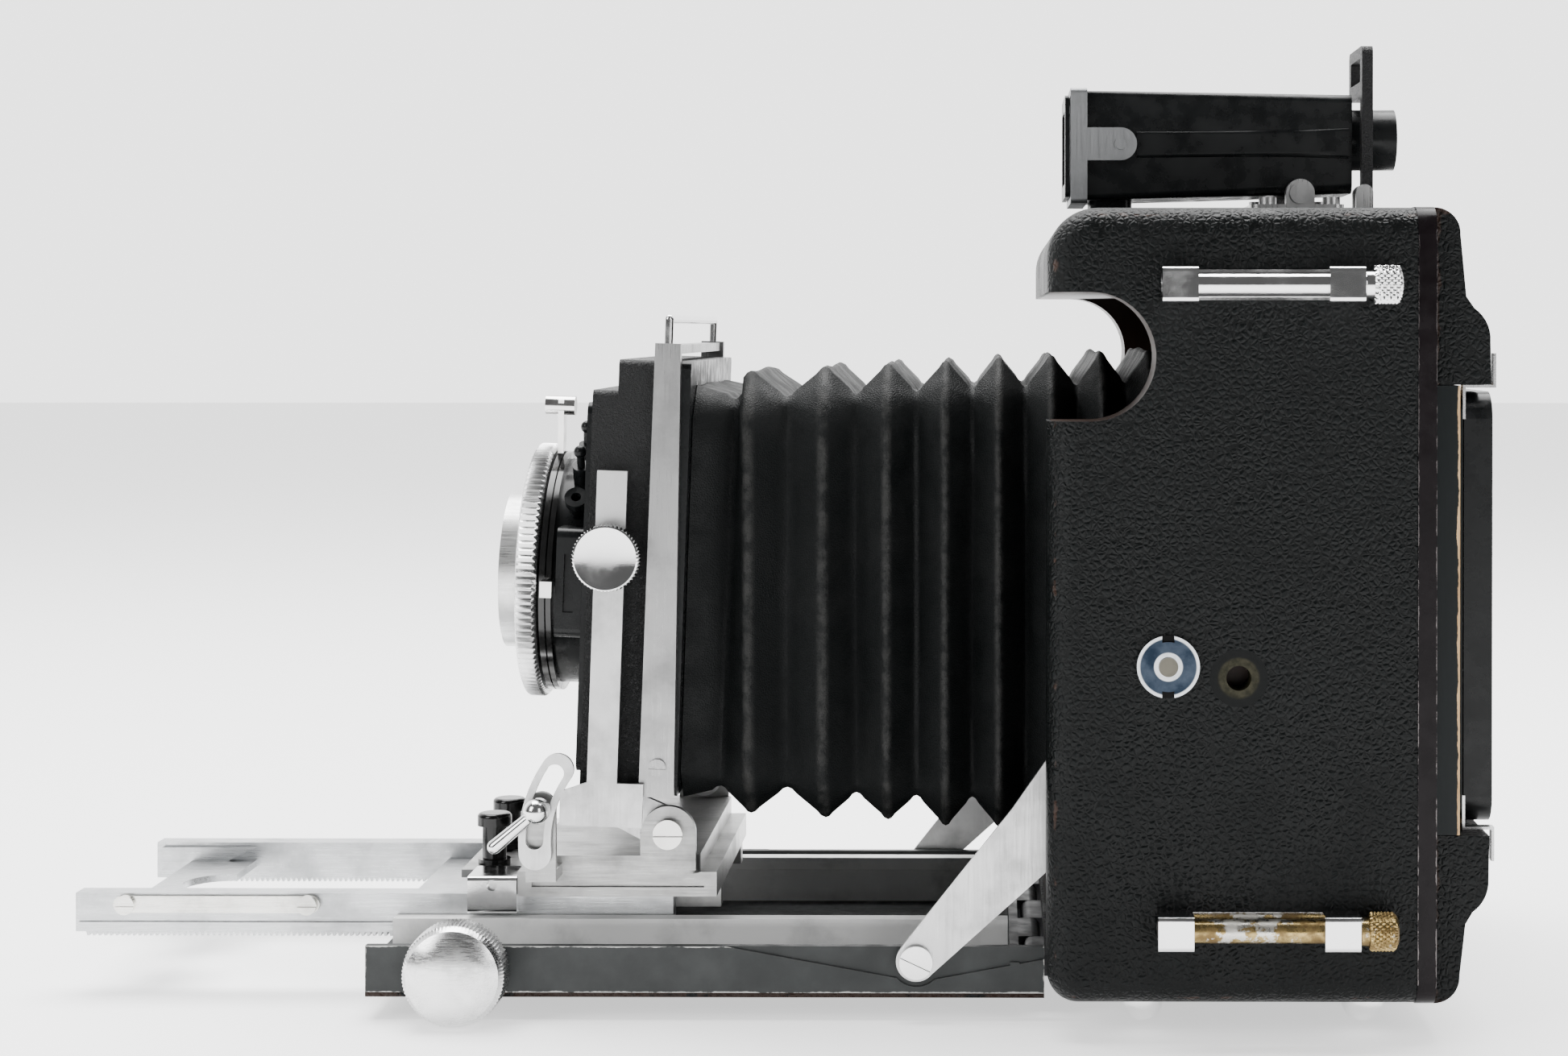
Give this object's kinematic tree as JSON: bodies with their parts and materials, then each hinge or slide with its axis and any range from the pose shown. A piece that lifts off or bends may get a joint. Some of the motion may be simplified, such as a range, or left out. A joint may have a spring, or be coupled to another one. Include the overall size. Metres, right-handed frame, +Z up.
{
  "type": "view camera",
  "caption": "Folding-bed press and view camera: leather-covered box, drop bed with racked focusing rails, tilting and rising front standard with leaf shutter, bellows and finders.",
  "frame": {"origin": "mouth of the tripod socket in the underside of the body, on the body's middle plane", "axes": "+Z up, -X the way the lens looks, +X towards the ground glass, -Y the side with the accessory clips"},
  "size_m": [0.3832, 0.1985, 0.2617],
  "materials": {
    "black_leather": "pebbled, worn brown at the edges",
    "dark_wood": "lacquered inside the body, black at the back frame",
    "black_wood": "black lacquer, worn to bare wood at the edges",
    "trim_metal": "dark, satin, rubbed",
    "chrome": "polished, lightly scratched",
    "satin_aluminium": "satin, brushed",
    "brass": "worn, dull",
    "bed_grey": "dark grey, smooth satin",
    "crinkle_black": "crinkle lacquer",
    "gloss_black": "polished",
    "black_metal": "satin black enamel",
    "bellows_cloth": "pleated leather-cloth, grey at the crests",
    "lens_glass": "coated",
    "ground_glass": "finely ground",
    "spring_steel": "polished",
    "dark_iron": "blued steel"
  },
  "bodies": {
    "camera_body": {"wood_box": "dark_wood", "leather_cover": "black_leather", "trim_frame": "trim_metal", "back_frame": "black_wood", "back_caps": "black_leather", "tripod_bushes": "brass", "strut_guide_pins": "chrome", "clip_brackets": "chrome", "feet": "chrome", "bed_hinge": "dark_iron", "finder_mounts": "chrome", "finder_tube": "black_metal", "finder_front_plate": "satin_aluminium", "finder_glass": "lens_glass", "bellows": "bellows_cloth", "bellows_rear_frame": "black_wood", "back_leaf_springs": "spring_steel"},
    "upper_pin": {"upper_clip_pin": "chrome"},
    "lower_pin": {"lower_clip_pin": "brass"},
    "mask": {"finder_mask": "black_metal"},
    "peep": {"peep_sight": "black_metal"},
    "spring_back": {"spring_back_frame": "black_wood", "ground_glass": "ground_glass"},
    "hood": {"focusing_hood": "black_metal"},
    "hood_button": {"hood_latch_button": "chrome"},
    "bed": {"bed_tray": "bed_grey", "bed_cover": "black_leather", "fixed_tracks": "satin_aluminium", "strut_screws": "chrome"},
    "near_link": {"near_strut": "satin_aluminium"},
    "far_link": {"far_strut": "satin_aluminium"},
    "rack": {"focus_rails": "satin_aluminium", "rail_braces": "satin_aluminium", "rail_guide_strip": "satin_aluminium"},
    "pinion": {"pinion_shaft": "spring_steel", "focus_knobs": "chrome"},
    "near_stop": {"near_infinity_stop": "chrome"},
    "far_stop": {"far_infinity_stop": "chrome"},
    "carriage_body": {"carriage": "satin_aluminium", "tilt_screws": "chrome"},
    "near_pinch": {"near_pinch_knob": "gloss_black"},
    "far_pinch": {"far_pinch_knob": "gloss_black"},
    "tilt_lock": {"near_tilt_lever": "chrome"},
    "tilt_frame": {"standard_uprights": "satin_aluminium"},
    "near_rise_lock": {"near_rise_knob": "chrome"},
    "far_rise_lock": {"far_rise_knob": "chrome"},
    "lens_standard": {"lens_box": "crinkle_black", "lens_board": "black_metal", "standard_rear_plate": "black_metal", "shutter_body": "black_metal", "lens_barrel": "satin_aluminium", "lens_glass": "lens_glass", "iris_blades": "dark_iron", "shutter_fittings": "black_metal", "finder_channels": "chrome"},
    "finder_wire": {"wire_finder": "chrome"},
    "shutter_speed": {"speed_ring": "satin_aluminium"},
    "cocking": {"cocking_lever": "chrome"},
    "aperture": {"aperture_lever": "chrome"},
    "release": {"release_lever": "chrome"}
  },
  "joints": [
    {"name": "upper_clip_release", "type": "slide", "parent": "camera_body", "child": "upper_pin", "axis": [1, 0, 0], "range_m": [0, 0.045]},
    {"name": "lower_clip_release", "type": "slide", "parent": "camera_body", "child": "lower_pin", "axis": [1, 0, 0], "range_m": [0, 0.045]},
    {"name": "mask_lift", "type": "slide", "parent": "camera_body", "child": "mask", "axis": [0, 0, 1], "range_m": [0, 0.03]},
    {"name": "peep_sight_fold", "type": "hinge", "parent": "camera_body", "child": "peep", "pos_m": [0.0416, 0, 0.211], "axis": [0, 1, 0], "range_deg": [0, 85]},
    {"name": "spring_back_travel", "type": "slide", "parent": "camera_body", "child": "spring_back", "axis": [1, 0, 0], "range_m": [0, 0.006], "stiffness_N_per_m": 1500, "springref_m": -0.003, "deforming": ["back_leaf_springs"]},
    {"name": "hood_open", "type": "hinge", "parent": "spring_back", "child": "hood", "pos_m": [0.0678, 0, 0.0442], "axis": [0, 1, 0], "range_deg": [0, 90]},
    {"name": "hood_latch_press", "type": "slide", "parent": "hood", "child": "hood_button", "axis": [-1, 0, 0], "range_m": [0, 0.0012], "stiffness_N_per_m": 300, "springref_m": -0.001},
    {"name": "bed_drop", "type": "hinge", "parent": "camera_body", "child": "bed", "pos_m": [-0.0518, 0, 0.003], "axis": [0, -1, 0], "range_deg": [0, 15], "deforming": ["bellows"]},
    {"name": "near_strut_turn", "type": "hinge", "parent": "bed", "child": "near_link", "pos_m": [-0.0827, -0.07075, 0.0067], "axis": [0, -1, 0], "range_deg": [-13, 1]},
    {"name": "far_strut_turn", "type": "hinge", "parent": "bed", "child": "far_link", "pos_m": [-0.0827, 0.07075, 0.0067], "axis": [0, -1, 0], "range_deg": [-13, 1]},
    {"name": "focus_rack", "type": "slide", "parent": "bed", "child": "rack", "axis": [1, 0, 0], "range_m": [-0.02, 0.085], "deforming": ["bellows"]},
    {"name": "pinion_turn", "type": "hinge", "parent": "bed", "child": "pinion", "pos_m": [-0.203, 0, 0.00439], "axis": [0, 1, 0], "range_deg": [-460, 1950]},
    {"name": "near_stop_slide", "type": "slide", "parent": "rack", "child": "near_stop", "axis": [-1, 0, 0], "range_m": [0, 0.04]},
    {"name": "far_stop_slide", "type": "slide", "parent": "rack", "child": "far_stop", "axis": [-1, 0, 0], "range_m": [0, 0.04]},
    {"name": "carriage_slide", "type": "slide", "parent": "rack", "child": "carriage_body", "axis": [1, 0, 0], "range_m": [0, 0.014], "deforming": ["bellows"]},
    {"name": "near_pinch_press", "type": "slide", "parent": "carriage_body", "child": "near_pinch", "axis": [0, 1, 0], "range_m": [0, 0.003], "stiffness_N_per_m": 400, "springref_m": -0.001},
    {"name": "far_pinch_press", "type": "slide", "parent": "carriage_body", "child": "far_pinch", "axis": [0, -1, 0], "range_m": [0, 0.003]},
    {"name": "tilt_lock_turn", "type": "hinge", "parent": "carriage_body", "child": "tilt_lock", "pos_m": [-0.18316, -0.0676, 0.04529], "axis": [0, 1, 0], "range_deg": [-20, 30]},
    {"name": "front_tilt", "type": "hinge", "parent": "carriage_body", "child": "tilt_frame", "pos_m": [-0.1504, 0, 0.0362], "axis": [0, 1, 0], "range_deg": [-12, 12], "deforming": ["bellows"]},
    {"name": "near_rise_lock_turn", "type": "hinge", "parent": "tilt_frame", "child": "near_rise_lock", "pos_m": [-0.16434, -0.068, 0.11253], "axis": [0, -1, 0], "range_deg": [0, 180]},
    {"name": "far_rise_lock_turn", "type": "hinge", "parent": "tilt_frame", "child": "far_rise_lock", "pos_m": [-0.16434, 0.068, 0.11253], "axis": [0, 1, 0], "range_deg": [0, 180]},
    {"name": "front_rise", "type": "slide", "parent": "tilt_frame", "child": "lens_standard", "axis": [0.0349, 0, 0.9994], "range_m": [0, 0.025], "deforming": ["bellows"]},
    {"name": "wire_finder_raise", "type": "slide", "parent": "lens_standard", "child": "finder_wire", "axis": [0.0349, 0, 0.9994], "range_m": [0, 0.079]},
    {"name": "speed_ring_turn", "type": "hinge", "parent": "lens_standard", "child": "shutter_speed", "pos_m": [-0.19167, 0, 0.10368], "axis": [0.9994, 0, -0.0349], "range_deg": [-120, 120]},
    {"name": "cocking_lever_throw", "type": "hinge", "parent": "lens_standard", "child": "cocking", "pos_m": [-0.18707, 0, 0.10352], "axis": [-0.9994, 0, 0.0349], "range_deg": [0, 45], "stiffness_Nm_per_rad": 0.02, "springref_deg": -17.19},
    {"name": "aperture_lever_turn", "type": "hinge", "parent": "lens_standard", "child": "aperture", "pos_m": [-0.18517, 0, 0.10346], "axis": [0.9994, 0, -0.0349], "range_deg": [-20, 20]},
    {"name": "release_lever_press", "type": "hinge", "parent": "lens_standard", "child": "release", "pos_m": [-0.18403, 0.0325, 0.0819], "axis": [-0.9994, 0, 0.0349], "range_deg": [0, 12], "stiffness_Nm_per_rad": 0.02, "springref_deg": -5.73}
  ],
  "couplings": [
    {"joint": "near_strut_turn", "follows": "bed_drop", "ratio": -0.8195},
    {"joint": "far_strut_turn", "follows": "bed_drop", "ratio": -0.8195},
    {"joint": "pinion_turn", "follows": "focus_rack", "rad_per_m": 400},
    {"joint": "far_pinch_press", "follows": "near_pinch_press", "ratio": 1}
  ]
}
